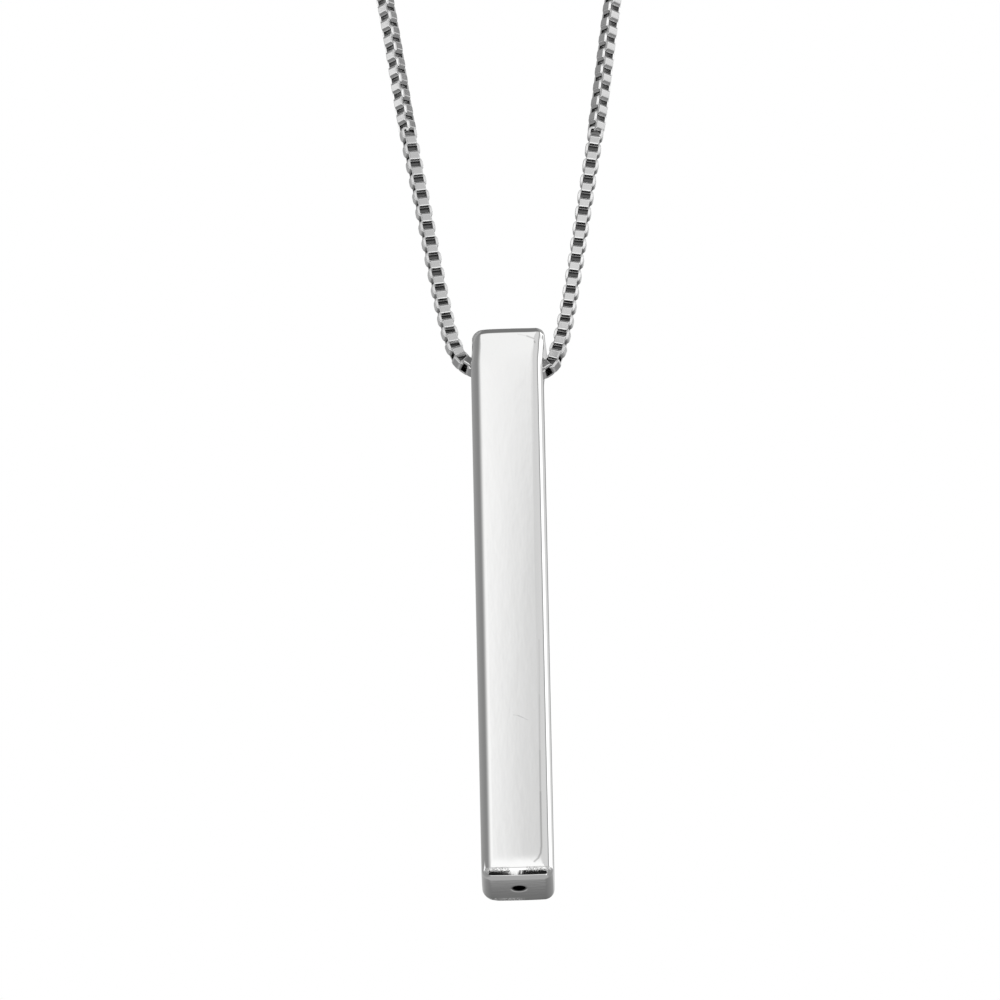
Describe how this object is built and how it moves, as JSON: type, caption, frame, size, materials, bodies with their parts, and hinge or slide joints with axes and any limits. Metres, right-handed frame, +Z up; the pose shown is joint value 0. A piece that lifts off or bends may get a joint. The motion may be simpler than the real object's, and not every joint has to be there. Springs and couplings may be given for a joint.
{
  "type": "bar pendant necklace",
  "caption": "Square polished bar with rounded edges, threaded near its top on a fine box chain that closes behind the neck with a round clasp.",
  "frame": {"origin": "the nape of the wearer's neck, where the middle of the clasp end lies on the skin", "axes": "+Z up; the wearer faces -Y, so the bar hangs in front at -Y and below at -Z; +X to the right of someone who looks at the bar from in front"},
  "size_m": [0.1044, 0.1263, 0.2477],
  "materials": {
    "bar_silver": "mirror-polished silver with fine wear scratches",
    "chain_silver": "polished silver, darkened between the links",
    "clasp_silver": "polished silver"
  },
  "bodies": {
    "necklace": {"chain": "chain_silver", "clasp": "clasp_silver", "eye_ring": "clasp_silver", "end_ring": "clasp_silver"},
    "pendant": {"bar": "bar_silver"}
  },
  "joints": [
    {"name": "bar_swing", "type": "hinge", "parent": "necklace", "child": "pendant", "pos_m": [0, -0.122, -0.207], "axis": [1, 0, 0], "range_deg": [-90, 90]}
  ]
}
